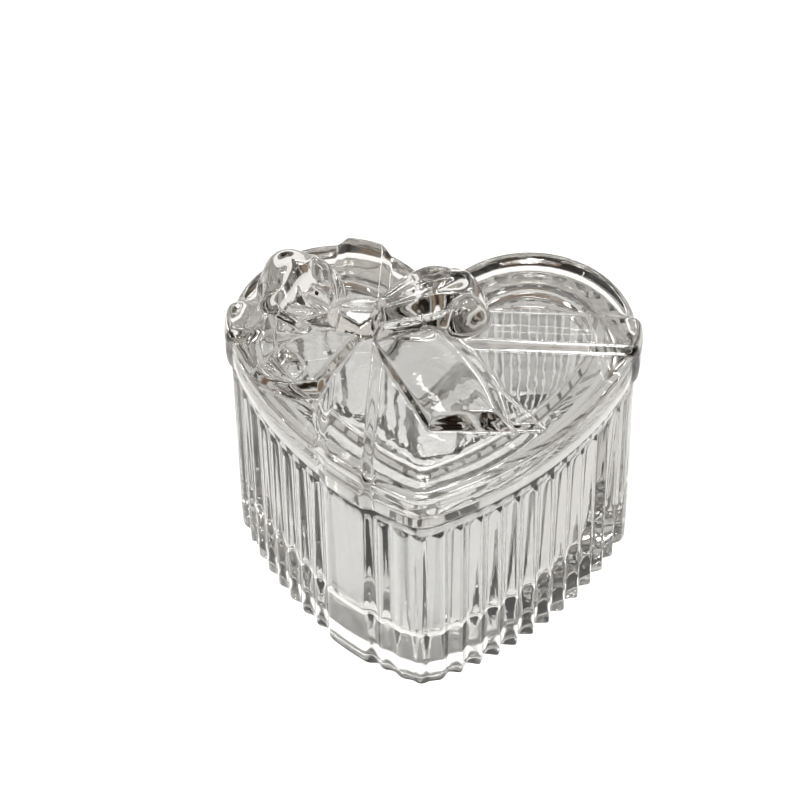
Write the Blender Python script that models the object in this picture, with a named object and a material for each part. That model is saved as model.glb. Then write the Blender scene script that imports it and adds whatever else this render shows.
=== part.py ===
"""Heart-shaped trinket box in clear pressed glass.

Two separate pressings: a reeded box body with a thick floor, and a lift-off lid whose
ribbon straps, bow and locating ring are moulded in one with it. The tip of the heart
points to -Y, the ribbons cross on the left lobe, and the box stands on its foot at Z = 0.
"""
import math

import bmesh
import bpy
from mathutils import Matrix

MM = 0.001

# Heart outline of the lid, before the ribbon straps are added.
HEART_WIDTH = 105 * MM
LOBE_RADIUS = 27.4 * MM
TIP_REACH = 57.0 * MM        # from the lobes' centre line to the tip, before stretching
TIP_RADIUS = 8.8 * MM
SIDE_RADIUS = 96 * MM        # the shallow curve from lobe to tip
NOTCH_RADIUS = 3.0 * MM
DEPTH_STRETCH = 1.06         # the lobes are a little deeper than they are wide
LOBE_LINE_Y = 14.9 * MM      # the lobes' centre line, so that the box is centred on Z

# Heights.
BODY_HEIGHT = 62.3 * MM
SEAT_GAP = 0.3 * MM          # between the body's rim and the lid that rests on it
LID_SIDE = 11.7 * MM
LID_BOTTOM = BODY_HEIGHT + SEAT_GAP
LID_TOP = LID_BOTTOM + LID_SIDE

# Body.
REEDS_PER_HALF = 27
REED_PEAK_INSET = 0.6 * MM   # how far inside the lid's outline the reeds' crests lie
REED_DEPTH = 2.3 * MM        # crisp reeds, on the right half
SOFT_REED_DEPTH = 1.0 * MM   # softer reeds, on the left half
TIP_REED_DEPTH = 0.6 * MM    # the shallow reeds round the tip
TIP_REEDS = 1.2              # shallow reeds on each side of the tip's middle
CRISP_START = 0.7            # reeds from the tip at which the crisp reeds begin
CRISP_END = 0.5              # reeds before the notch at which they end
CRISP_BLEND = 1.5            # reeds over which they reach their depth
NECK_INSET = 1.3 * MM
NECK_HEIGHT = 3.2 * MM
REED_END = 2.0 * MM          # height over which a reed's top runs out into the neck
FOOT_CHAMFER = 1.2 * MM
WALL_INSET = 6.6 * MM        # cavity wall at the rim
CAVITY_DRAFT = 1.4 * MM      # how much narrower the cavity is at the floor, each side
FLOOR_THICKNESS = 12.0 * MM
FLOOR_FILLET = 6.0 * MM
FLOOR_DISH = 1.6 * MM        # how much lower the cavity's floor is in the middle
FOOT_RING_WIDTH = 5.6 * MM
FOOT_SLOPE_WIDTH = 6.8 * MM  # from the foot's flat ring in to the roof of the recess
FOOT_RECESS = 2.8 * MM
RECESS_DOME = 3.4 * MM       # how much higher the recess's roof is in the middle
DISC_CENTRE_Y = 4.0 * MM     # the middle of the floor, on the box's centre line
DISC_SHARES = (0.2, 0.5, 0.8)

# Lid.
EDGE_ROUND = 2.0 * MM
PLATE_THICKNESS = 5.2 * MM
RING_OUTER_INSET = 7.3 * MM
RING_INNER_INSET = 11.2 * MM
RING_REACH = 2.2 * MM        # below the lid's rim, inside the body's mouth
RING_TIP_RADIUS = 4.0 * MM

# Ribbon straps, one across the box and one from back to front.
STRAP_BASE = 14.5 * MM
STRAP_FLAT = 9.6 * MM
STRAP_RELIEF_TOP = 1.8 * MM
STRAP_RELIEF_SIDE = 1.6 * MM
STRAP_RELIEF_BODY = 0.2 * MM
STRAP_X = -19.5 * MM         # the back-to-front strap runs over the left lobe
STRAP_Y = LOBE_LINE_Y - 1.5 * MM

# Bow, moulded on the lid where the straps cross.
KNOT_X = -18.8 * MM
KNOT_Y = LOBE_LINE_Y - 3.5 * MM
KNOT_SIZE = 12.0 * MM
KNOT_HEIGHT = 8.0 * MM
BOW_SINK = 1.0 * MM          # how far the bow's shapes reach into the lid's plate
TAIL_CROWN = 0.8 * MM        # rise of a tail's middle above its edges
LOOP_HEIGHT = 10.0 * MM
RIGHT_LOOP_ANGLE = 24.0      # directions from the knot, in degrees from +X
LEFT_LOOP_ANGLE = 142.0
LEFT_TAIL_ANGLE = 230.0
RIGHT_TAIL_ANGLE = 308.0

# Tails as (left edge, right edge, height), each edge (along, across) from the knot, in mm.
RIGHT_TAIL = (((3, 8), (3, -3.5), 4.2), ((14, 14), (14, -1.2), 4.0),
              ((41, 16.5), (38, -4.4), 3.6), ((50, 15), (42, -3.0), 2.8),
              ((54, 17), (45, -1.7), 0.5))
LEFT_TAIL = (((3, 4), (3, -3), 4.2), ((12.5, 6), (12.5, -5.5), 4.0),
             ((24.5, 9.3), (24.5, -9.6), 3.4), ((28, 7.5), (29, -7), 2.4),
             ((30, 5), (30.5, -4.5), 0.5))
EDGE_SPREAD = 0.08           # how far a tail's foot stands outside its edges, per width
LOOP_LIFT = 0.5 * MM         # the loops' widest level above the lid

POINTS_PER_REED = 2
LID_POINTS_PER_HALF = 48
UNDERSIDE_RINGS = 4          # the lid's rings below its skin
WELD = 0.001 * MM

GLASS_COLOUR = (0.86, 0.87, 0.85, 1.0)
LID_GLASS_COLOUR = (0.88, 0.89, 0.87, 1.0)

LOBE_SPACING = HEART_WIDTH / 2 - LOBE_RADIUS


def clear_scene():
    for obj in list(bpy.data.objects):
        bpy.data.objects.remove(obj, do_unlink=True)


def glass_material(name, colour, roughness):
    material = bpy.data.materials.new(name)
    material.use_nodes = True
    shader = material.node_tree.nodes["Principled BSDF"]
    shader.inputs["Base Color"].default_value = colour
    shader.inputs["Metallic"].default_value = 0.0
    shader.inputs["Roughness"].default_value = roughness
    shader.inputs["Transmission Weight"].default_value = 1.0
    shader.inputs["IOR"].default_value = 1.5
    return material


# ---------------------------------------------------------------- heart outline

def heart_arcs(inset, tip_radius):
    """The right half of the outline as arcs (centre x, centre y, radius, start, end).

    The arcs run from the notch to the tip and keep their centres as the outline is
    inset, so points at the same place on two insets face each other squarely.
    """
    lobe = (LOBE_SPACING, 0.0)
    notch_y = math.sqrt((LOBE_RADIUS + NOTCH_RADIUS) ** 2 - LOBE_SPACING ** 2)
    tip_full = (0.0, TIP_RADIUS - TIP_REACH)
    side = side_centre(lobe, tip_full)
    reach = SIDE_RADIUS - inset - tip_radius
    tip = (0.0, side[1] - math.sqrt(reach ** 2 - side[0] ** 2))
    to_lobe = math.atan2(-notch_y, LOBE_SPACING)
    from_side = math.atan2(lobe[1] - side[1], lobe[0] - side[0])
    to_tip = math.atan2(tip[1] - side[1], tip[0] - side[0])
    return [
        (0.0, notch_y, NOTCH_RADIUS + inset, -math.pi / 2, to_lobe),
        (*lobe, LOBE_RADIUS - inset, to_lobe + math.pi, from_side),
        (*side, SIDE_RADIUS - inset, from_side, to_tip),
        (*tip, tip_radius, to_tip, -math.pi / 2),
    ]


def side_centre(lobe, tip):
    """Centre of the arc that touches the lobe's and the tip's circles from outside."""
    to_lobe = SIDE_RADIUS - LOBE_RADIUS
    to_tip = SIDE_RADIUS - TIP_RADIUS
    gap_x = tip[0] - lobe[0]
    gap_y = tip[1] - lobe[1]
    gap = math.hypot(gap_x, gap_y)
    along = (to_lobe ** 2 - to_tip ** 2 + gap ** 2) / (2 * gap)
    across = math.sqrt(to_lobe ** 2 - along ** 2)
    unit = (gap_x / gap, gap_y / gap)
    return (lobe[0] + unit[0] * along + unit[1] * across,
            lobe[1] + unit[1] * along - unit[0] * across)


def half_stations(count):
    """Places along the half outline, evenly spaced, as (arc index, fraction)."""
    arcs = heart_arcs(0.0, TIP_RADIUS)
    lengths = [radius * abs(end - start) for _, _, radius, start, end in arcs]
    stations = []
    for step in range(count + 1):
        left = sum(lengths) * step / count
        index = 0
        while index < len(arcs) - 1 and left > lengths[index]:
            left -= lengths[index]
            index += 1
        stations.append((index, min(left / lengths[index], 1.0)))
    return stations


def half_outline(stations, inset, tip_radius):
    """Points of the right half at one inset, each with its outward direction."""
    arcs = heart_arcs(inset, tip_radius)
    points = []
    for index, fraction in stations:
        centre_x, centre_y, radius, start, end = arcs[index]
        angle = start + (end - start) * fraction
        turn = -1.0 if index == 0 else 1.0
        normal = (turn * math.cos(angle), turn * math.sin(angle))
        x = centre_x + radius * math.cos(angle)
        y = centre_y + radius * math.sin(angle)
        points.append((x, y, *normal))
    return points


def outline(per_half, inset, tip_radius=TIP_RADIUS):
    """The closed heart, counter-clockwise from the tip, as (x, y, normal x, normal y)."""
    right = half_outline(half_stations(per_half), inset, tip_radius)
    left = [(-x, y, -nx, ny) for x, y, nx, ny in right[1:-1]]
    points = right[::-1] + left
    return [(x, y * DEPTH_STRETCH + LOBE_LINE_Y, nx, ny) for x, y, nx, ny in points]


# ---------------------------------------------------------------- straps

def strap_profile(distance):
    """Height of a strap's cross-section, 1 on its flat and 0 outside its base."""
    slope = (STRAP_BASE - STRAP_FLAT) / 2
    return min(max((STRAP_BASE / 2 - abs(distance)) / slope, 0.0), 1.0)


def strap_cover(x, y, normal_x, normal_y):
    """How fully a strap covers a point of the wall, from 0 to 1."""
    if abs(normal_x) > abs(normal_y):
        return strap_profile(y - STRAP_Y)
    return strap_profile(x - STRAP_X)


# ---------------------------------------------------------------- mesh helpers

def add_ring(mesh, points, height):
    return [mesh.verts.new((x, y, height)) for x, y in points]


def bridge(mesh, lower, upper):
    """Faces between two rings that run the same way round, facing out if upper is above."""
    count = len(lower)
    for index in range(count):
        following = (index + 1) % count
        mesh.faces.new((lower[index], lower[following], upper[following], upper[index]))


def finish_object(name, mesh, material):
    bmesh.ops.recalc_face_normals(mesh, faces=mesh.faces[:])
    data = bpy.data.meshes.new(name)
    mesh.to_mesh(data)
    mesh.free()
    data.materials.append(material)
    data.shade_smooth()
    data.set_sharp_from_angle(angle=math.radians(30))
    obj = bpy.data.objects.new(name, data)
    bpy.context.scene.collection.objects.link(obj)
    return obj


def stack_rings(mesh, rings):
    """Join a run of (points, height) rings and close both ends with flat caps."""
    built = [add_ring(mesh, points, height) for points, height in rings]
    for lower, upper in zip(built, built[1:]):
        bridge(mesh, lower, upper)
    mesh.faces.new(built[0][::-1])
    mesh.faces.new(built[-1])


# ---------------------------------------------------------------- box body

def valley_depth(reed):
    """Depth of the valley that lies this many reeds anticlockwise from the tip."""
    from_tip = min(reed, 2 * REEDS_PER_HALF - reed)
    near_tip = min(max(TIP_REEDS + 1.0 - from_tip, 0.0), 1.0)
    soft = SOFT_REED_DEPTH + (TIP_REED_DEPTH - SOFT_REED_DEPTH) * near_tip
    crisp = min(reed - CRISP_START, REEDS_PER_HALF - CRISP_END - reed) / CRISP_BLEND
    crisp = min(max(crisp, 0.0), 1.0)
    return soft + (REED_DEPTH - soft) * crisp


def body_wall(reed_share, foot_cut):
    """One ring of the outer wall.

    reed_share is 1 where the reeds are whole and 0 on the smooth neck, and foot_cut
    pulls the foot's edge in.
    """
    per_half = REEDS_PER_HALF * POINTS_PER_REED
    points = []
    for index, (x, y, nx, ny) in enumerate(outline(per_half, 0.0)):
        depth = valley_depth(index / POINTS_PER_REED) if index % POINTS_PER_REED else 0.0
        inset = NECK_INSET + (REED_PEAK_INSET + depth - NECK_INSET) * reed_share
        inset += (-STRAP_RELIEF_BODY - inset) * strap_cover(x, y, nx, ny)
        inset += foot_cut
        points.append((x - nx * inset, y - ny * inset))
    return points


def flat_ring(per_half, inset, tip_radius=TIP_RADIUS):
    return [(x, y) for x, y, _, _ in outline(per_half, inset, tip_radius)]


def disc_rings(edge, height, rise):
    """Rings inside an edge, from the middle out, that rise to a shallow dome."""
    rings = []
    for share in DISC_SHARES:
        ring = [(x * share, DISC_CENTRE_Y + (y - DISC_CENTRE_Y) * share) for x, y in edge]
        rings.append((ring, height + rise * (1 - share ** 2)))
    return rings


def cavity_rings():
    """Rings down the cavity's drafted wall, round its fillet and over its dished floor."""
    per_half = REEDS_PER_HALF * POINTS_PER_REED
    floor_inset = WALL_INSET + CAVITY_DRAFT
    tip = TIP_RADIUS - WALL_INSET
    rings = [(flat_ring(per_half, WALL_INSET, tip), BODY_HEIGHT),
             (flat_ring(per_half, floor_inset, tip), FLOOR_THICKNESS + FLOOR_FILLET)]
    for angle in (30, 60, 90):
        turn = math.radians(angle)
        inset = floor_inset + FLOOR_FILLET * (1 - math.cos(turn))
        height = FLOOR_THICKNESS + FLOOR_FILLET * (1 - math.sin(turn))
        rings.append((flat_ring(per_half, inset, tip), height))
    edge = rings[-1][0]
    return rings + disc_rings(edge, FLOOR_THICKNESS, -FLOOR_DISH)[::-1]


def foot_rings():
    """Rings of the recess under the floor, from its domed roof down its slope to the foot."""
    per_half = REEDS_PER_HALF * POINTS_PER_REED
    edge = flat_ring(per_half, FOOT_RING_WIDTH + FOOT_SLOPE_WIDTH, TIP_RADIUS / 2)
    rings = disc_rings(edge, FOOT_RECESS, RECESS_DOME)
    for share in (1.0, 0.8, 0.5, 0.2, 0.0):
        tip = TIP_RADIUS * (3 - share) / 4
        ring = flat_ring(per_half, FOOT_RING_WIDTH + FOOT_SLOPE_WIDTH * share, tip)
        rings.append((ring, FOOT_RECESS * share * share * (3 - 2 * share)))
    return rings


def build_body(material):
    reed_top = BODY_HEIGHT - NECK_HEIGHT
    rings = foot_rings()
    rings.append((body_wall(1.0, FOOT_CHAMFER), 0.0))
    rings.append((body_wall(1.0, 0.0), FOOT_CHAMFER))
    rings.append((body_wall(1.0, 0.0), reed_top - REED_END))
    rings.append((body_wall(0.7, 0.0), reed_top - REED_END * 0.3))
    rings.append((body_wall(0.0, 0.0), reed_top))
    rings.append((body_wall(0.0, 0.0), BODY_HEIGHT))
    rings += cavity_rings()
    mesh = bmesh.new()
    stack_rings(mesh, rings)
    return finish_object("box_body", mesh, material)


# ---------------------------------------------------------------- lid

def lid_rings():
    """Rings of the plain lid, from the plate's underside round to its rounded top edge."""
    per_half = LID_POINTS_PER_HALF
    ring_bottom = LID_BOTTOM - RING_REACH
    inner = flat_ring(per_half, RING_INNER_INSET, RING_TIP_RADIUS)
    outer = flat_ring(per_half, RING_OUTER_INSET, RING_TIP_RADIUS)
    side = flat_ring(per_half, 0.0)
    rings = [(inner, LID_TOP - PLATE_THICKNESS), (inner, ring_bottom),
             (outer, ring_bottom), (outer, LID_BOTTOM), (side, LID_BOTTOM),
             (side, LID_TOP - EDGE_ROUND)]
    for angle in (30, 60, 90):
        turn = math.radians(angle)
        inset = EDGE_ROUND * (1 - math.cos(turn))
        height = LID_TOP - EDGE_ROUND * (1 - math.sin(turn))
        rings.append((flat_ring(per_half, inset), height))
    return rings


def score(mesh, point, normal):
    """Cut every face that a plane crosses, so that a strap's edge can follow the cut."""
    geometry = mesh.verts[:] + mesh.edges[:] + mesh.faces[:]
    bmesh.ops.bisect_plane(mesh, geom=geometry, dist=WELD, plane_co=point, plane_no=normal)


def score_strap_edges(mesh):
    for half in (STRAP_BASE / 2, STRAP_FLAT / 2):
        for sign in (-1, 1):
            score(mesh, (STRAP_X + sign * half, 0, 0), (1, 0, 0))
            score(mesh, (0, STRAP_Y + sign * half, 0), (0, 1, 0))


def raise_straps(mesh, skin):
    """Lift the straps off the lid's top and stand them proud of its side."""
    for vert in mesh.verts:
        if vert[skin] < 0.99:
            continue
        along = strap_profile(vert.co.x - STRAP_X)
        across = strap_profile(vert.co.y - STRAP_Y)
        crossing = max(abs(vert.co.x - STRAP_X), abs(vert.co.y - STRAP_Y)) < STRAP_BASE / 2 + WELD
        rise = min(max((vert.co.z - LID_TOP + EDGE_ROUND) / EDGE_ROUND, 0.0), 1.0)
        vert.co.z += STRAP_RELIEF_TOP * max(along, across) * rise
        if not crossing:
            vert.co.x += math.copysign(STRAP_RELIEF_SIDE * across, vert.co.x)
            vert.co.y += math.copysign(STRAP_RELIEF_SIDE * along, vert.co.y - STRAP_Y)


def build_lid(material):
    """The lid with its straps and locating ring; the bow is joined to it afterwards."""
    mesh = bmesh.new()
    skin = mesh.verts.layers.float.new("skin")
    built = []
    for points, height in lid_rings():
        ring = add_ring(mesh, points, height)
        for vert in ring:
            vert[skin] = 1.0 if len(built) >= UNDERSIDE_RINGS else 0.0
        built.append(ring)
    for lower, upper in zip(built, built[1:]):
        bridge(mesh, lower, upper)
    mesh.faces.new(built[0][::-1])
    mesh.faces.new(built[-1])
    score_strap_edges(mesh)
    raise_straps(mesh, skin)
    return finish_object("lid", mesh, material)


# ---------------------------------------------------------------- bow

def ellipsoid(centre, radii, turn, segments=20, rings=12):
    """A closed ellipsoid, turned about Z in degrees and then moved to its centre."""
    mesh = bmesh.new()
    bmesh.ops.create_uvsphere(mesh, u_segments=segments, v_segments=rings, radius=1.0)
    scale = Matrix.Diagonal((*radii, 1.0))
    place = Matrix.Translation(centre) @ Matrix.Rotation(math.radians(turn), 4, "Z")
    mesh.transform(place @ scale)
    return mesh


def dome(centre, radii, turn):
    """The part of an ellipsoid above the lid's plate, closed flat inside the plate."""
    mesh = ellipsoid(centre, radii, turn)
    geometry = mesh.verts[:] + mesh.edges[:] + mesh.faces[:]
    cut = bmesh.ops.bisect_plane(mesh, geom=geometry, dist=WELD, clear_inner=True,
                                 plane_co=(0, 0, LID_TOP - BOW_SINK), plane_no=(0, 0, 1))
    rim = [item for item in cut["geom_cut"] if isinstance(item, bmesh.types.BMEdge)]
    bmesh.ops.holes_fill(mesh, edges=rim)
    return mesh


def from_knot(along, across, angle, height=0.0):
    """A point given by its distance from the knot along and across a direction."""
    turn = math.radians(angle)
    x = KNOT_X + along * math.cos(turn) - across * math.sin(turn)
    y = KNOT_Y + along * math.sin(turn) + across * math.cos(turn)
    return (x, y, LID_TOP + height)


def ribbon_tail(angle, sections):
    """A tail of cross-sections (left edge, right edge, height) along a direction.

    Each edge is (distance from the knot, distance across), in millimetres. The edges
    slope outwards to the lid, and the tail starts inside the knot.
    """
    mesh = bmesh.new()
    built = []
    for left, right, height in sections:
        ring = []
        for share, up in ((-EDGE_SPREAD, -1), (1 + EDGE_SPREAD, -1), (1, 0), (0.7, 1), (0.3, 1), (0, 0)):
            along = (right[0] + (left[0] - right[0]) * share) * MM
            across = (right[1] + (left[1] - right[1]) * share) * MM
            rise = -BOW_SINK if up < 0 else height * MM + TAIL_CROWN * up
            ring.append(mesh.verts.new(from_knot(along, across, angle, rise)))
        built.append(ring)
    for lower, upper in zip(built, built[1:]):
        bridge(mesh, lower, upper)
    mesh.faces.new(built[0][::-1])
    mesh.faces.new(built[-1])
    return mesh


def knot():
    """The wrapped centre of the bow, a rounded block."""
    mesh = bmesh.new()
    bmesh.ops.create_cube(mesh, size=1.0)
    height = KNOT_HEIGHT + BOW_SINK
    centre = (KNOT_X, KNOT_Y, LID_TOP - BOW_SINK + height / 2)
    mesh.transform(Matrix.Translation(centre)
                   @ Matrix.Diagonal((KNOT_SIZE, KNOT_SIZE, height, 1.0)))
    bmesh.ops.bevel(mesh, geom=mesh.edges[:], offset=2.2 * MM, segments=3, profile=0.5,
                    affect="EDGES")
    return mesh


def bow_pieces():
    """The bow's shapes, each with whether it is joined to the lid or cut from it."""
    right = from_knot(20 * MM, 0.0, RIGHT_LOOP_ANGLE, LOOP_LIFT)
    left = from_knot(17.5 * MM, 0.0, LEFT_LOOP_ANGLE, LOOP_LIFT)
    mouth = from_knot(13.0 * MM, 7.0 * MM, LEFT_LOOP_ANGLE, 5.0 * MM)
    rise = LOOP_HEIGHT - LOOP_LIFT
    return [
        ("right_loop", dome(right, (15 * MM, 12 * MM, rise), RIGHT_LOOP_ANGLE / 2), "UNION"),
        ("left_loop", dome(left, (14 * MM, 9.5 * MM, rise), LEFT_LOOP_ANGLE), "UNION"),
        ("loop_mouth", ellipsoid(mouth, (8 * MM, 7 * MM, 4 * MM), LEFT_LOOP_ANGLE), "DIFFERENCE"),
        ("right_tail", ribbon_tail(RIGHT_TAIL_ANGLE, RIGHT_TAIL), "UNION"),
        ("left_tail", ribbon_tail(LEFT_TAIL_ANGLE, LEFT_TAIL), "UNION"),
        ("knot_block", knot(), "UNION"),
    ]


def add_bow(lid, material):
    for name, mesh, operation in bow_pieces():
        operand = finish_object(name, mesh, material)
        operand.hide_render = True
        operand.display_type = "WIRE"
        modifier = lid.modifiers.new(name, "BOOLEAN")
        modifier.operation = operation
        modifier.solver = "EXACT"
        modifier.object = operand


def main():
    clear_scene()
    glass = glass_material("clear_glass", GLASS_COLOUR, 0.03)
    lid_glass = glass_material("clear_lid_glass", LID_GLASS_COLOUR, 0.02)
    build_body(glass)
    lid = build_lid(lid_glass)
    add_bow(lid, lid_glass)


main()
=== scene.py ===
"""Heart-shaped trinket box in clear pressed glass: the looks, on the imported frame.

The body and the lid are each one closed skin of glass, built ring by ring from the middle
of the underside, round the outside and over to the middle of the top or the cavity's
floor. Lengths are millimetres until a mesh is made.
"""
import math

import bpy
import numpy as np
from mathutils import Matrix, Vector


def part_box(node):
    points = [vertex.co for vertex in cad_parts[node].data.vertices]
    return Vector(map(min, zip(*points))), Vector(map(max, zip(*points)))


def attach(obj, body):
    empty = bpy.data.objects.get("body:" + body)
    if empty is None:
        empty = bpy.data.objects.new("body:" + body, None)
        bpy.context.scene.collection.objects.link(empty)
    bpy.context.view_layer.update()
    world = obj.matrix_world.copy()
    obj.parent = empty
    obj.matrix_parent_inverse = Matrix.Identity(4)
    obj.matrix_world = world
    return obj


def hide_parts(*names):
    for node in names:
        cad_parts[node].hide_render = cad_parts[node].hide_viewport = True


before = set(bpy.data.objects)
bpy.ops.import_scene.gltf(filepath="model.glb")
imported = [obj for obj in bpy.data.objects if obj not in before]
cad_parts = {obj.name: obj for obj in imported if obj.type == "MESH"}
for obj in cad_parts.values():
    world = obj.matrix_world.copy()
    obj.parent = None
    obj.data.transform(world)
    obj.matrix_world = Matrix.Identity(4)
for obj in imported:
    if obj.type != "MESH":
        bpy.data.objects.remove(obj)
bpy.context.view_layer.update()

MM = 0.001

# Heart outline of the lid.
HEART_WIDTH = 105.0
LOBE_RADIUS = 27.4
TIP_REACH = 57.0
TIP_RADIUS = 8.8
SIDE_RADIUS = 96.0
NOTCH_RADIUS = 3.0
DEPTH_STRETCH = 1.06
LOBE_LINE_Y = 14.9
LOBE_SPACING = HEART_WIDTH / 2 - LOBE_RADIUS

# Heights.
BODY_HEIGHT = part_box("box_body")[1].z / MM
SEAT_GAP = 0.3
LID_SIDE = 11.7
LID_BOTTOM = BODY_HEIGHT + SEAT_GAP
LID_TOP = LID_BOTTOM + LID_SIDE

# Body. The reeds are counted from the tip, up each half to the notch.
REEDS_PER_HALF = 27
REED_PEAK_INSET = 0.6
REED_DEPTH = 2.3
SOFT_REED_DEPTH = 1.0
TIP_REED_DEPTH = 0.6
TIP_REEDS = 1.2
CRISP_START = 0.7
CRISP_END = 0.5
CRISP_BLEND = 1.5
NECK_INSET = 1.3
NECK_HEIGHT = 3.2
FOOT_CHAMFER = 1.2
WALL_INSET = 6.6
CAVITY_DRAFT = 1.4
FLOOR_THICKNESS = 12.0
FLOOR_FILLET = 6.0
FLOOR_DISH = 1.6             # how much lower the cavity's floor is in the middle
FLOOR_CENTRE = (0.0, 4.0)
FOOT_RING_WIDTH = 5.6
FOOT_SLOPE_WIDTH = 6.8
FOOT_RECESS = 2.8
RECESS_DOME = 3.4            # how much higher the recess's roof is in the middle
RIM_ROUND = 0.6

# Lid.
EDGE_ROUND = 2.0
LOWER_EDGE_ROUND = 1.1
FLAT_INSET = 6.0             # where the closely spaced rings of the rim end
SIDE_BULGE = 0.35
PLATE_THICKNESS = 5.2
RING_OUTER_INSET = 7.3
RING_INNER_INSET = 11.2
RING_REACH = 2.2
RING_TIP_RADIUS = 4.0
RING_EDGE_ROUND = 0.5
PLATE_FILLET = 1.0

# Ribbon straps.
STRAP_BASE = 14.5
STRAP_FLAT = 9.6
STRAP_RELIEF_TOP = 1.8
STRAP_RELIEF_SIDE = 1.6
STRAP_RELIEF_BODY = 0.2
STRAP_X = -19.5
STRAP_Y = LOBE_LINE_Y - 1.5

# Middle of the bow.
KNOT_X = -18.8
KNOT_Y = LOBE_LINE_Y - 3.5

# Glass: its tint at each surface, then the tone and strength of what its depth absorbs.
BODY_TINT = (0.567, 0.57, 0.566)
LID_TINT = (0.89, 0.89, 0.89)
ABSORBED = (0.42, 0.395, 0.345)
BODY_ABSORPTION = 18.0
LID_ABSORPTION = 26.0

# Soft boxes: name, azimuth, elevation, distance and size in metres, radiance.
LAMPS = (
    ("overhead", 0.0, 86.0, 1.2, 0.26, 0.26, 20.0),
    ("front_box", -48.0, 32.0, 1.3, 0.16, 0.34, 18.0),
    ("window", 60.0, 50.0, 1.3, 0.16, 0.30, 18.0),
    ("left_strip", -70.0, 35.0, 1.3, 0.06, 0.50, 18.0),
    ("back_strip", 160.0, 40.0, 1.4, 0.40, 0.08, 18.0),
    ("right_strip", 115.0, 25.0, 1.4, 0.06, 0.50, 16.0),
    ("left_spark", -28.0, 62.0, 1.3, 0.05, 0.05, 120.0),
    ("right_spark", 24.0, 74.0, 1.3, 0.30, 0.10, 40.0),
    ("back_spark", 175.0, 64.0, 1.3, 0.30, 0.03, 70.0),
)
# The room's tone from front (-1) to back (1), and its shade from the floor (-1) to overhead (1).
ROOM_DEPTH = (
    (-0.96, (0.03, 0.02, 0.015)),
    (-0.88, (0.52, 0.38, 0.28)),
    (-0.56, (0.55, 0.41, 0.31)),
    (-0.50, (0.02, 0.015, 0.01)),
    (-0.44, (0.02, 0.015, 0.01)),
    (-0.38, (0.42, 0.41, 0.39)),
    (0.60, (0.70, 0.70, 0.68)),
    (0.90, (1.0, 1.0, 0.98)),
)
ROOM_HEIGHT = (
    (0.00, (0.08, 0.07, 0.06)),
    (0.09, (0.08, 0.07, 0.06)),
    (0.12, (1.2, 1.2, 1.2)),
    (0.45, (1.1, 1.1, 1.1)),
    (0.48, (0.2, 0.18, 0.16)),
    (0.53, (0.2, 0.18, 0.16)),
    (0.56, (1.3, 1.3, 1.3)),
    (0.60, (1.3, 1.3, 1.3)),
    (0.62, (0.40, 0.28, 0.20)),
    (0.69, (0.48, 0.35, 0.26)),
    (0.71, (1.4, 1.4, 1.4)),
    (0.74, (1.4, 1.4, 1.4)),
    (0.76, (0.04, 0.03, 0.02)),
    (0.80, (0.04, 0.03, 0.02)),
    (0.82, (1.5, 1.5, 1.5)),
)

POINTS_PER_REED = 14
LID_POINTS_PER_HALF = 328
LID_CENTRE = (1.0, -6.0)     # the top's rings shrink to this point, which sees the whole outline
TOP_RINGS = 128
DISC_SHARES = (1 / 32, 1 / 16, 1 / 8, 3 / 16, 1 / 4, 3 / 8, 1 / 2, 5 / 8, 3 / 4, 7 / 8, 1.0)


# ---------------------------------------------------------------- heart outline

def side_centre(lobe, tip):
    """Centre of the arc that touches the lobe's and the tip's circles from outside."""
    to_lobe = SIDE_RADIUS - LOBE_RADIUS
    to_tip = SIDE_RADIUS - TIP_RADIUS
    gap_x = tip[0] - lobe[0]
    gap_y = tip[1] - lobe[1]
    gap = math.hypot(gap_x, gap_y)
    along = (to_lobe ** 2 - to_tip ** 2 + gap ** 2) / (2 * gap)
    across = math.sqrt(to_lobe ** 2 - along ** 2)
    unit = (gap_x / gap, gap_y / gap)
    return (lobe[0] + unit[0] * along + unit[1] * across,
            lobe[1] + unit[1] * along - unit[0] * across)


def heart_arcs(inset, tip_radius):
    """Arcs of the right half, notch to tip, as rows (centre x, y, radius, start, end)."""
    lobe = (LOBE_SPACING, 0.0)
    notch_y = math.sqrt((LOBE_RADIUS + NOTCH_RADIUS) ** 2 - LOBE_SPACING ** 2)
    side = side_centre(lobe, (0.0, TIP_RADIUS - TIP_REACH))
    reach = SIDE_RADIUS - inset - tip_radius
    tip = (0.0, side[1] - math.sqrt(reach ** 2 - side[0] ** 2))
    to_lobe = math.atan2(-notch_y, LOBE_SPACING)
    from_side = math.atan2(lobe[1] - side[1], lobe[0] - side[0])
    to_tip = math.atan2(tip[1] - side[1], tip[0] - side[0])
    return np.array([
        (0.0, notch_y, NOTCH_RADIUS + inset, -math.pi / 2, to_lobe),
        (*lobe, LOBE_RADIUS - inset, to_lobe + math.pi, from_side),
        (*side, SIDE_RADIUS - inset, from_side, to_tip),
        (*tip, tip_radius, to_tip, -math.pi / 2),
    ])


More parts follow.
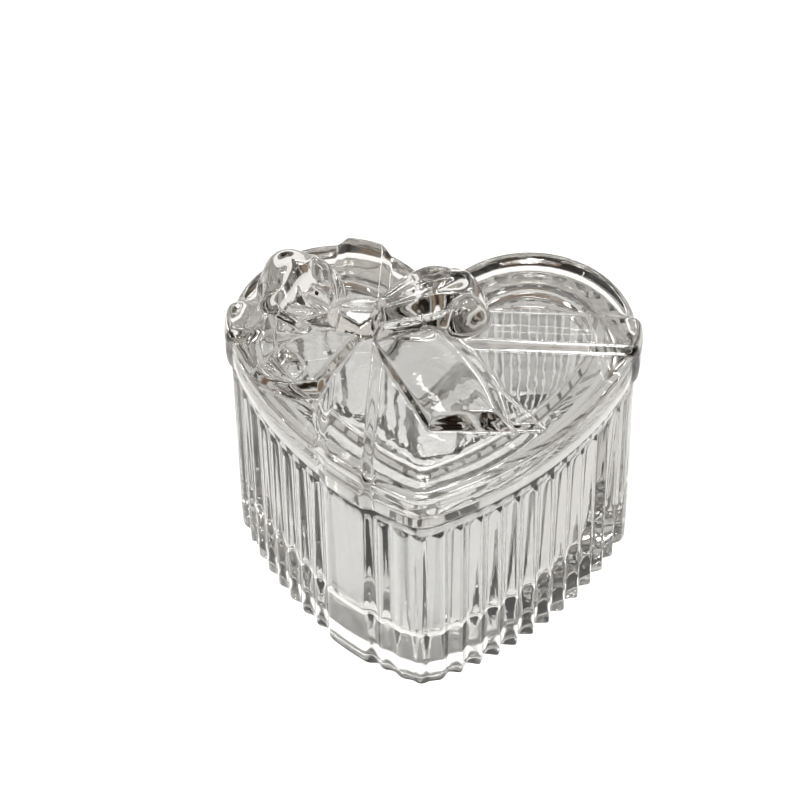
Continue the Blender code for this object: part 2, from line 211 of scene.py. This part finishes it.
def outline(per_half, inset=0.0, tip_radius=TIP_RADIUS):
    """The closed heart, counter-clockwise from the tip: rows of (x, y, normal x, normal y)."""
    plain = heart_arcs(0.0, TIP_RADIUS)
    lengths = plain[:, 2] * np.abs(plain[:, 4] - plain[:, 3])
    starts = np.concatenate(([0.0], np.cumsum(lengths)))
    place = np.linspace(0.0, starts[-1], per_half + 1)
    arc = np.clip(np.searchsorted(starts, place, side="left") - 1, 0, len(plain) - 1)
    fraction = (place - starts[arc]) / lengths[arc]
    centre_x, centre_y, radius, start, end = heart_arcs(inset, tip_radius)[arc].T
    angle = start + (end - start) * fraction
    turn = np.where(arc == 0, -1.0, 1.0)
    right = np.stack((centre_x + radius * np.cos(angle), centre_y + radius * np.sin(angle),
                      turn * np.cos(angle), turn * np.sin(angle)), axis=1)
    left = right[1:-1] * (-1, 1, -1, 1)
    points = np.concatenate((right[::-1], left))
    points[:, 1] = points[:, 1] * DEPTH_STRETCH + LOBE_LINE_Y
    return points


# ---------------------------------------------------------------- soft shapes

def soft_max(a, b, blend):
    """The larger of two heights, with the crease between them rounded."""
    return (a + b + np.sqrt((a - b) ** 2 + blend ** 2)) / 2


def soft_min(a, b, blend):
    """The smaller of two heights, with the crease between them rounded."""
    return (a + b - np.sqrt((a - b) ** 2 + blend ** 2)) / 2


def strap_profile(distance, rounding=0.16):
    """Height of a strap's cross-section, 1 on its flat and 0 outside its base."""
    slope = (STRAP_BASE - STRAP_FLAT) / 2
    ramp = (STRAP_BASE / 2 - np.abs(distance)) / slope
    return np.clip(soft_min(soft_max(ramp, 0.0, rounding), 1.0, rounding), 0.0, 1.0)


def strap_cover(points):
    """How fully a strap covers each point of the wall, from 0 to 1."""
    x, y, normal_x, normal_y = points.T
    crosses = np.abs(normal_x) > np.abs(normal_y)
    return np.where(crosses, strap_profile(y - STRAP_Y), strap_profile(x - STRAP_X))


def sweep(x, y, stops, power=3.0, steps=48):
    """A roll of glass along a smooth path; stops are (x, y, half width, height).

    Outside the roll the height goes below zero, so that rolls can be blended.
    """
    stops = np.array(stops, float)
    place = np.linspace(0.0, len(stops) - 1, steps)
    path = np.stack([smooth_interp(place, column) for column in stops.T], axis=1)
    height = np.full(x.shape, -20.0)
    for stop_x, stop_y, half_width, top in path:
        share = np.hypot(x - stop_x, y - stop_y) / half_width
        height = np.maximum(height, top * (1.0 - share ** power))
    return height


def smooth_interp(place, values):
    """Catmull-Rom interpolation of evenly spaced values."""
    padded = np.concatenate(([2 * values[0] - values[1]], values, [2 * values[-1] - values[-2]]))
    index = np.minimum(place.astype(int), len(values) - 2)
    t = place - index
    a, b, c, d = (padded[index + shift] for shift in range(4))
    return b + 0.5 * t * (c - a + t * (2 * a - 5 * b + 4 * c - d + t * (3 * (b - c) + d - a)))


def panel(x, y, corners, slopes, top, blend=0.5):
    """A raised panel inside a convex outline given counter-clockwise.

    slopes holds the steepness of the side that starts at each corner, and top the height
    of the panel's face at every point.
    """
    height = top
    for start, end, slope in zip(corners, corners[1:] + corners[:1], slopes):
        run_x = end[0] - start[0]
        run_y = end[1] - start[1]
        inside = (run_x * (y - start[1]) - run_y * (x - start[0])) / math.hypot(run_x, run_y)
        height = soft_min(height, inside * slope, blend)
    return height


# ---------------------------------------------------------------- mesh helpers

class Skin:
    """A closed skin made of rings, from the middle of the underside to the middle on top."""

    def __init__(self):
        self.points = []
        self.faces = []
        self.last = None
        self.count = 0

    def add(self, points):
        """Join one more ring, an (n, 3) array that runs counter-clockwise."""
        ring = np.arange(self.count, self.count + len(points))
        self.points.append(points)
        self.count += len(points)
        if self.last is None:
            self.close(ring, -1)
        else:
            self.bridge(self.last, ring)
        self.last = ring

    def bridge(self, lower, upper):
        """Faces between two rings; one may have twice as many points as the other."""
        if len(lower) == len(upper):
            faces = (lower, np.roll(lower, -1), np.roll(upper, -1), upper)
            self.faces += np.stack(faces, axis=1).tolist()
            return
        fine, coarse, order = (lower, upper, 1) if len(lower) > len(upper) else (upper, lower, -1)
        first, middle, last = fine[0::2], fine[1::2], np.roll(fine[0::2], -1)
        following = np.roll(coarse, -1)
        triangles = ((first, middle, coarse), (middle, following, coarse), (middle, last, following))
        for corners in triangles:
            self.faces += np.stack(corners, axis=1)[:, ::order].tolist()

    def close(self, ring, side):
        """Close one end with a flat face that looks down or up."""
        self.faces.append(ring[::side].tolist())

    def finish(self, name, material):
        """Close the far end and make the object."""
        self.close(self.last, 1)
        mesh = bpy.data.meshes.new(name)
        points = np.concatenate(self.points) * MM
        mesh.from_pydata(points.tolist(), [], self.faces)
        mesh.materials.append(material)
        mesh.shade_smooth()
        mesh.update()
        obj = bpy.data.objects.new(name, mesh)
        bpy.context.scene.collection.objects.link(obj)
        return obj


def inset_ring(per_half, inset, tip_radius, height):
    """A level ring that follows the heart at an inset."""
    points = outline(per_half, inset, tip_radius)
    return np.column_stack((points[:, :2], np.full(len(points), height)))


def shrunk_rings(ring, centre, shares):
    """Rings that shrink to a centre, with half the points each time they crowd."""
    fewest = 24
    rings = []
    for share in shares:
        skip = 1
        while share * skip < 0.5 and len(ring) // (skip * 2) >= fewest and len(ring) % (skip * 2) == 0:
            skip *= 2
        small = ring[::skip].copy()
        small[:, :2] = centre + (small[:, :2] - centre) * share
        rings.append(small)
    return rings


def disc_rings(ring, centre, rise):
    """Rings from a centre out to a ring, with the middle raised in a shallow dome."""
    rings = shrunk_rings(ring, centre, DISC_SHARES)
    for share, inner in zip(DISC_SHARES, rings):
        inner[:, 2] += rise * (1 - share ** 2)
    return rings


def round_corner(start, end, radius, steps):
    """Insets and drops along a quarter round, from one angle in degrees to another."""
    return [(radius * math.cos(turn), radius * math.sin(turn))
            for turn in np.radians(np.linspace(start, end, steps))]


# ---------------------------------------------------------------- box body

def reed_inset():
    """Inset of the reeded wall at each station: crisp on the right half, soft and shallow elsewhere."""
    per_half = REEDS_PER_HALF * POINTS_PER_REED
    reed = np.arange(2 * per_half) / POINTS_PER_REED
    off_crest = np.abs(reed - np.round(reed)) * 2
    crisp = np.hypot(off_crest, 0.12) - 0.12
    crisp = soft_min(crisp / crisp.max(), 0.95, 0.1)
    soft = 0.5 - 0.5 * np.cos(math.pi * off_crest)
    from_ends = np.minimum(reed - CRISP_START, REEDS_PER_HALF - CRISP_END - reed)
    right_half = np.clip(from_ends / CRISP_BLEND, 0.0, 1.0)
    near_tip = np.clip(TIP_REEDS + 1 - np.minimum(reed, 2 * REEDS_PER_HALF - reed), 0.0, 1.0)
    soft_depth = SOFT_REED_DEPTH + (TIP_REED_DEPTH - SOFT_REED_DEPTH) * near_tip
    relief = soft_depth * soft * (1 - right_half) + REED_DEPTH * crisp * right_half
    return REED_PEAK_INSET + relief


def wall_ring(height, foot_cut=0.0):
    """One ring of the outer wall. Near the top the flutes run out into the smooth neck."""
    points = outline(REEDS_PER_HALF * POINTS_PER_REED)
    below_neck = BODY_HEIGHT - NECK_HEIGHT - height
    deepest = soft_max(below_neck * 0.45, 0.0, 0.3)
    proudest = soft_max(below_neck * 0.6, 0.0, 0.3)
    relief = soft_max(soft_min(reed_inset() - NECK_INSET, deepest, 0.25), -proudest, 0.15)
    inset = NECK_INSET + relief
    inset += (-STRAP_RELIEF_BODY - inset) * strap_cover(points) + foot_cut
    x, y, normal_x, normal_y = points.T
    return np.column_stack((x - normal_x * inset, y - normal_y * inset, np.full(len(x), height)))


def body_rings():
    """The body's rings: foot recess, foot, wall, rim, cavity and cavity floor."""
    per_half = REEDS_PER_HALF * POINTS_PER_REED
    foot_tip = TIP_RADIUS / 2
    centre = np.array(FLOOR_CENTRE)
    recess = inset_ring(per_half, FOOT_RING_WIDTH + FOOT_SLOPE_WIDTH, foot_tip, FOOT_RECESS)
    yield from disc_rings(recess, centre, RECESS_DOME)
    for share in np.linspace(1.0, 0.0, 9)[1:]:
        rise = FOOT_RECESS * share * share * (3 - 2 * share)
        yield inset_ring(per_half, FOOT_RING_WIDTH + FOOT_SLOPE_WIDTH * share,
                         foot_tip + (TIP_RADIUS - foot_tip) * 0.5 * (1 - share), rise)
    for cut, drop in round_corner(-90, 0, FOOT_CHAMFER, 6):
        yield wall_ring(FOOT_CHAMFER + drop, FOOT_CHAMFER - cut)
    neck = BODY_HEIGHT - NECK_HEIGHT
    for height in (8.0, 16.0, 24.0, 32.0, 40.0, 48.0):
        yield wall_ring(height)
    for height in np.linspace(neck - 6.4, neck + 0.6, 30):
        yield wall_ring(height)
    for cut, drop in round_corner(0, 90, RIM_ROUND, 5):
        yield wall_ring(BODY_HEIGHT - RIM_ROUND + drop, RIM_ROUND - cut)
    tip = TIP_RADIUS - WALL_INSET
    for cut, drop in round_corner(90, 0, RIM_ROUND, 5):
        yield inset_ring(per_half, WALL_INSET - RIM_ROUND + cut, tip, BODY_HEIGHT - RIM_ROUND + drop)
    floor_inset = WALL_INSET + CAVITY_DRAFT
    fillet_top = FLOOR_THICKNESS + FLOOR_FILLET
    for share in (0.25, 0.5, 0.75):
        height = BODY_HEIGHT + (fillet_top - BODY_HEIGHT) * share
        yield inset_ring(per_half, WALL_INSET + CAVITY_DRAFT * share, tip, height)
    for cut, drop in round_corner(0, 90, FLOOR_FILLET, 9):
        yield inset_ring(per_half, floor_inset + FLOOR_FILLET - cut, tip, fillet_top - drop)
    floor = inset_ring(per_half, floor_inset + FLOOR_FILLET, tip, FLOOR_THICKNESS)
    yield from disc_rings(floor, centre, -FLOOR_DISH)[-2::-1]


# ---------------------------------------------------------------- lid

def bow_height(x, y):
    """Height of the bow above the lid's top; below zero where there is none."""
    shapes = [right_loop(x, y), left_loop(x, y), right_tail(x, y), left_tail(x, y), knot(x, y)]
    height = shapes[0]
    for shape in shapes[1:]:
        height = soft_max(height, shape, 0.4)
    return height


def knot(x, y):
    """The wrapped centre: a block that leans forwards, with folds behind and on its right."""
    face = 7.8 - 0.42 * np.maximum(11.0 - y, 0.0)
    block = panel(x, y, [(-18.2, 4.8), (-12.0, 8.6), (-12.0, 15.0), (-25.6, 15.0), (-25.4, 7.8)],
                  (3.0, 4.0, 3.0, 4.0, 3.0), face, 0.6)
    back = sweep(x, y, ((-25.0, 12.8, 2.6, 7.4), (-21.6, 14.4, 3.6, 8.4), (-16.8, 14.8, 3.6, 8.6),
                        (-13.2, 13.6, 2.4, 8.0)))
    right = sweep(x, y, ((-13.6, 14.4, 2.0, 8.2), (-14.0, 11.4, 2.2, 8.7), (-14.6, 8.8, 1.7, 7.2)))
    return soft_max(block, soft_max(back, right, 0.3), 0.3)


def from_knot(x, y):
    """Distance from the middle of the bow."""
    return np.hypot(x - KNOT_X, y - KNOT_Y)


def pleat_waves(x, y, per_radian):
    """Pleats that fan out from the knot, from -1 in their valleys to 1 on their crests."""
    return np.cos(np.arctan2(y - KNOT_Y, x - KNOT_X) * per_radian)


def right_loop(x, y):
    """A puffed, pleated loop; its lower edge stands in front and ends in a round bulge."""
    dome = sweep(x, y, ((-14.0, 13.8, 3.2, 6.8), (-8.6, 17.6, 6.0, 8.4), (-2.0, 21.6, 9.0, 9.7),
                        (4.4, 22.0, 9.0, 9.8)), power=4.0)
    pleats = 0.45 * pleat_waves(x, y, 26.0) * np.clip(1.7 - from_knot(x, y) / 20.0, 0.0, 1.0)
    band = panel(x, y, [(-15.5, 5.4), (-5.3, 6.6), (3.6, 9.4), (8.0, 12.0), (8.0, 18.0),
                        (-15.0, 11.0)],
                 (3.6, 3.6, 3.6, 3.0, 2.0, 3.0), 8.2 + 0.03 * x, 0.3)
    bulge = sweep(x, y, ((7.8, 14.9, 6.6, 8.8), (8.6, 15.6, 6.6, 8.9)), power=2.6)
    return soft_max(soft_max(dome + pleats, band, 0.3), bulge, 0.3)


def left_loop(x, y):
    """An upright loop whose open, pleated mouth faces the front, behind the ribbon's lower edge."""
    roll = sweep(x, y, ((-40.6, 18.4, 4.8, 8.6), (-39.6, 23.4, 6.2, 9.8), (-38.6, 27.8, 7.0, 9.9),
                        (-32.4, 27.4, 4.2, 9.4)), power=3.6)
    mouth = panel(x, y, [(-30.0, 40.0), (-50.0, 40.0), (-46.0, 5.0), (-27.6, 29.8)],
                  (5.0, 5.0, 5.0, 5.0), np.full(x.shape, 12.0), 0.8)
    roll = soft_min(roll, mouth, 0.5)
    back = sweep(x, y, ((-32.0, 28.6, 3.6, 9.2), (-27.6, 25.0, 3.2, 8.9), (-24.6, 19.6, 3.0, 8.4),
                        (-23.6, 15.4, 2.8, 7.8)))
    flap = sweep(x, y, ((-41.0, 15.2, 1.8, 4.8), (-38.0, 13.2, 1.7, 4.4), (-33.2, 9.9, 1.2, 3.4)),
                 power=1.6)
    fold = sweep(x, y, ((-36.6, 24.6, 1.4, 6.6), (-35.2, 20.6, 1.8, 6.2), (-32.5, 17.0, 1.6, 5.0),
                        (-28.6, 14.6, 1.2, 3.4)), power=1.6)
    pleats = 0.8 * pleat_waves(x, y, 24.0) * np.clip(from_knot(x, y) / 6.0 - 1.0, 0.0, 1.0)
    floor = sweep(x, y, ((-33.4, 20.6, 8.0, 2.4), (-28.6, 17.0, 6.0, 2.8)), power=4.0) + pleats
    throat = sweep(x, y, ((-24.4, 13.6, 2.4, 6.6), (-27.6, 12.4, 2.2, 5.2), (-32.6, 12.6, 1.8, 2.6)),
                   power=2.4)
    inside = soft_max(soft_max(soft_max(flap, fold, 0.2), throat, 0.2), floor, 0.3)
    return soft_max(soft_max(roll, back, 0.4), inside, 0.3)


def right_tail(x, y):
    """The long tail: a thick rounded panel with a thin, pointed skirt to its right."""
    face = 4.5 - 0.012 * (x * 0.87 + y * 0.5 - 5.0) ** 2
    thick = panel(x, y, [(1.2, -22.4), (22.6, -22.0), (18.8, -8.0), (11.6, 4.0), (2.4, 13.5),
                         (-17.4, 9.6)],
                  (1.3, 1.1, 1.1, 1.1, 3.0, 3.2), face, 0.7)
    skirt = panel(x, y, [(1.0, -22.6), (29.8, -20.6), (4.6, 8.0), (0.0, 12.0), (-14.0, 5.0)],
                  (1.6, 1.6, 1.6, 3.0, 3.0), np.full(x.shape, 1.5), 0.3)
    return soft_max(thick, skirt, 0.4)


def left_tail(x, y):
    """The short tail: a bright panel beside a hollowed one that ends in a rounded lip."""
    face = 4.8 - 0.006 * (x + 26.0) ** 2
    hollow = sweep(x, y, ((-41.4, -2.2, 3.6, 2.6), (-38.2, -4.6, 5.0, 4.0), (-34.8, -7.4, 3.6, 3.4)),
                   power=1.6)
    face = face - soft_max(hollow, 0.0, 0.15)
    return panel(x, y, [(-45.6, -5.2), (-42.0, -9.4), (-37.6, -12.4), (-32.9, -13.6), (-27.4, -13.2),
                        (-17.0, 7.0), (-27.6, 9.6), (-37.0, 6.2)],
                 (1.6, 1.6, 1.6, 1.8, 2.8, 2.6, 2.2, 1.6), face, 0.6)


def lift_top(ring):
    """Raise a ring of the lid's top by the straps and the bow."""
    x, y, z = ring.T
    rise = np.clip((z - LID_TOP + EDGE_ROUND) / EDGE_ROUND, 0.0, 1.0)
    straps = STRAP_RELIEF_TOP * np.maximum(strap_profile(x - STRAP_X), strap_profile(y - STRAP_Y))
    height = soft_max(straps, bow_height(x, y), 0.3)
    lifted = ring.copy()
    lifted[:, 2] += np.where(height > straps + 0.02, height, straps) * rise
    return lifted


def spread_side(ring):
    """Stand the straps proud of the lid's side."""
    x, y, z = ring.T
    spread = ring.copy()
    crossing = np.maximum(np.abs(x - STRAP_X), np.abs(y - STRAP_Y)) < STRAP_BASE / 2
    spread[:, 0] += np.where(crossing, 0.0, np.sign(x) * STRAP_RELIEF_SIDE * strap_profile(y - STRAP_Y))
    spread[:, 1] += np.where(crossing, 0.0,
                             np.sign(y - STRAP_Y) * STRAP_RELIEF_SIDE * strap_profile(x - STRAP_X))
    return spread


def lid_rings():
    """The lid's rings: underside, locating ring, rim, side and the top with its ribbons."""
    per_half = LID_POINTS_PER_HALF
    centre = np.array(LID_CENTRE)
    under = LID_TOP - PLATE_THICKNESS
    ring_bottom = LID_BOTTOM - RING_REACH
    middle = inset_ring(per_half, RING_INNER_INSET + PLATE_FILLET, RING_TIP_RADIUS, under)
    yield from disc_rings(middle, centre, 0.0)
    for cut, drop in round_corner(80, 0, PLATE_FILLET, 5):
        yield inset_ring(per_half, RING_INNER_INSET + PLATE_FILLET - cut, RING_TIP_RADIUS,
                         under - PLATE_FILLET + drop)
    for cut, drop in round_corner(0, 90, RING_EDGE_ROUND, 4):
        yield inset_ring(per_half, RING_INNER_INSET - RING_EDGE_ROUND + cut, RING_TIP_RADIUS,
                         ring_bottom + RING_EDGE_ROUND - drop)
    for cut, drop in round_corner(90, 0, RING_EDGE_ROUND, 4):
        yield inset_ring(per_half, RING_OUTER_INSET + RING_EDGE_ROUND - cut, RING_TIP_RADIUS,
                         ring_bottom + RING_EDGE_ROUND - drop)
    yield inset_ring(per_half, RING_OUTER_INSET, RING_TIP_RADIUS, LID_BOTTOM)
    for cut, drop in round_corner(90, 0, LOWER_EDGE_ROUND, 7):
        yield spread_side(inset_ring(per_half, SIDE_BULGE + LOWER_EDGE_ROUND - cut, TIP_RADIUS,
                                     LID_BOTTOM + LOWER_EDGE_ROUND - drop))
    side_bottom = LID_BOTTOM + LOWER_EDGE_ROUND
    side_height = LID_TOP - EDGE_ROUND - side_bottom
    for share in np.linspace(-1.0, 1.0, 9)[1:-1]:
        height = side_bottom + side_height * (share + 1) / 2
        yield spread_side(inset_ring(per_half, SIDE_BULGE * share ** 2, TIP_RADIUS, height))
    for cut, drop in round_corner(0, 90, EDGE_ROUND, 10):
        inset = EDGE_ROUND - cut + SIDE_BULGE * (1 - cut / EDGE_ROUND)
        ring = inset_ring(per_half, inset, TIP_RADIUS, LID_TOP - EDGE_ROUND + drop)
        yield spread_side(lift_top(ring))
    for inset in np.linspace(EDGE_ROUND, FLAT_INSET, 10)[1:]:
        yield lift_top(inset_ring(per_half, inset, TIP_RADIUS, LID_TOP))
    last = inset_ring(per_half, FLAT_INSET, TIP_RADIUS, LID_TOP)
    for ring in shrunk_rings(last, centre, np.linspace(1.0, 0.0, TOP_RINGS + 2)[1:-1]):
        yield lift_top(ring)


# ---------------------------------------------------------------- materials and scene

def clear_glass(name, tint, absorption, stretch, fineness, depth):
    """Pressed glass: clear, faintly grey, with the soft ripples that a mould leaves.

    stretch draws the ripples out along an axis, fineness is how many lie in a metre and
    depth is theirs in millimetres.
    """
    material = bpy.data.materials.new(name)
    material.use_nodes = True
    nodes = material.node_tree.nodes
    links = material.node_tree.links
    shader = nodes["Principled BSDF"]
    shader.inputs["Base Color"].default_value = (*tint, 1.0)
    shader.inputs["Transmission Weight"].default_value = 1.0
    shader.inputs["IOR"].default_value = 1.5
    shader.inputs["Roughness"].default_value = 0.0
    place = nodes.new("ShaderNodeTexCoord")
    drawn_out = nodes.new("ShaderNodeMapping")
    drawn_out.inputs["Scale"].default_value = stretch
    ripples = nodes.new("ShaderNodeTexNoise")
    ripples.inputs["Scale"].default_value = fineness
    ripples.inputs["Detail"].default_value = 2.0
    bump = nodes.new("ShaderNodeBump")
    bump.inputs["Strength"].default_value = 1.0
    bump.inputs["Distance"].default_value = depth * MM
    links.new(place.outputs["Object"], drawn_out.inputs["Vector"])
    links.new(drawn_out.outputs["Vector"], ripples.inputs["Vector"])
    links.new(ripples.outputs["Fac"], bump.inputs["Height"])
    links.new(bump.outputs["Normal"], shader.inputs["Normal"])
    depth_tone = nodes.new("ShaderNodeVolumeAbsorption")
    depth_tone.inputs["Color"].default_value = (*ABSORBED, 1.0)
    depth_tone.inputs["Density"].default_value = absorption
    links.new(depth_tone.outputs["Volume"], nodes["Material Output"].inputs["Volume"])
    return material


def add_piece(name, rings, material, node, body):
    """Make one pressing from its rings and hang it on its body in the frame."""
    skin = Skin()
    for ring in rings:
        skin.add(ring)
    piece = skin.finish(name, material)
    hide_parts(node)
    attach(piece, body)
    piece.visible_shadow = False


def add_camera():
    """The camera stands a little right of the front and looks down on the lid."""
    azimuth, elevation, roll = (math.radians(angle) for angle in (4.27, 47.0, -0.85))
    aim = Vector((-8.9, 15.0, 45.0)) * MM
    distance = 864 * MM
    back = Vector((math.sin(azimuth) * math.cos(elevation), -math.cos(azimuth) * math.cos(elevation),
                   math.sin(elevation)))
    camera = bpy.data.objects.new("camera", bpy.data.cameras.new("camera"))
    camera.data.lens = 147.17
    camera.data.sensor_width = 36.0
    camera.data.clip_start = 0.01
    turn = (-back).to_track_quat("-Z", "Y").to_matrix().to_4x4() @ Matrix.Rotation(roll, 4, "Z")
    camera.matrix_world = Matrix.Translation(aim + back * distance) @ turn
    bpy.context.scene.collection.objects.link(camera)
    bpy.context.scene.camera = camera


def add_floor():
    """A plain pale surface just under the foot."""
    mesh = bpy.data.meshes.new("floor")
    half = 3.0
    height = -0.05 * MM
    mesh.from_pydata([(-half, -half, height), (half, -half, height), (half, half, height),
                      (-half, half, height)], [], [(0, 1, 2, 3)])
    material = bpy.data.materials.new("pale_floor")
    material.use_nodes = True
    shader = material.node_tree.nodes["Principled BSDF"]
    shader.inputs["Base Color"].default_value = (0.9, 0.9, 0.9, 1.0)
    shader.inputs["Roughness"].default_value = 0.9
    mesh.materials.append(material)
    floor = bpy.data.objects.new("floor", mesh)
    bpy.context.scene.collection.objects.link(floor)


def add_lamp(name, azimuth, elevation, distance, width, height, radiance):
    turn, rise = math.radians(azimuth), math.radians(elevation)
    away = Vector((math.sin(turn) * math.cos(rise), -math.cos(turn) * math.cos(rise), math.sin(rise)))
    light = bpy.data.lights.new(name, "AREA")
    light.shape = "RECTANGLE"
    light.size = width
    light.size_y = height
    light.energy = radiance * math.pi * width * height
    lamp = bpy.data.objects.new(name, light)
    lamp.location = away * distance
    lamp.rotation_euler = away.to_track_quat("Z", "Y").to_euler()
    bpy.context.scene.collection.objects.link(lamp)


def add_ramp(nodes, links, value, stops):
    """A colour ramp over -1 to 1, as (value, colour) stops."""
    spread = nodes.new("ShaderNodeMapRange")
    spread.inputs["From Min"].default_value = -1.0
    ramp = nodes.new("ShaderNodeValToRGB")
    links.new(value, spread.inputs["Value"])
    links.new(spread.outputs["Result"], ramp.inputs["Fac"])
    elements = ramp.color_ramp.elements
    while len(elements) < len(stops):
        elements.new(0.5)
    for element, (place, colour) in zip(elements, stops):
        element.position = (place + 1) / 2
        element.color = (*colour, 1.0)
    return ramp.outputs["Color"]


def add_world():
    """A room that is light behind the glass, with a brown wall and dark gaps in front of it."""
    world = bpy.data.worlds.new("studio")
    bpy.context.scene.world = world
    world.use_nodes = True
    nodes = world.node_tree.nodes
    links = world.node_tree.links
    place = nodes.new("ShaderNodeTexCoord")
    split = nodes.new("ShaderNodeSeparateXYZ")
    both = nodes.new("ShaderNodeMix")
    both.data_type = "RGBA"
    both.blend_type = "MULTIPLY"
    both.inputs["Factor"].default_value = 1.0
    links.new(place.outputs["Generated"], split.inputs["Vector"])
    depth = add_ramp(nodes, links, split.outputs["Y"], ROOM_DEPTH)
    height = add_ramp(nodes, links, split.outputs["Z"], ROOM_HEIGHT)
    links.new(depth, both.inputs["A"])
    links.new(height, both.inputs["B"])
    links.new(both.outputs["Result"], nodes["Background"].inputs["Color"])


body_glass = clear_glass("body_glass", BODY_TINT, BODY_ABSORPTION, (1.0, 1.0, 0.06), 520.0, 0.032)
lid_glass = clear_glass("lid_glass", LID_TINT, LID_ABSORPTION, (1.0, 1.0, 1.0), 220.0, 0.05)
add_piece("body_glass", body_rings(), body_glass, "box_body", "box")
add_piece("lid_glass", lid_rings(), lid_glass, "lid", "lid")
add_camera()
add_floor()
for lamp in LAMPS:
    add_lamp(*lamp)
add_world()
bpy.context.scene.view_settings.view_transform = "Standard"
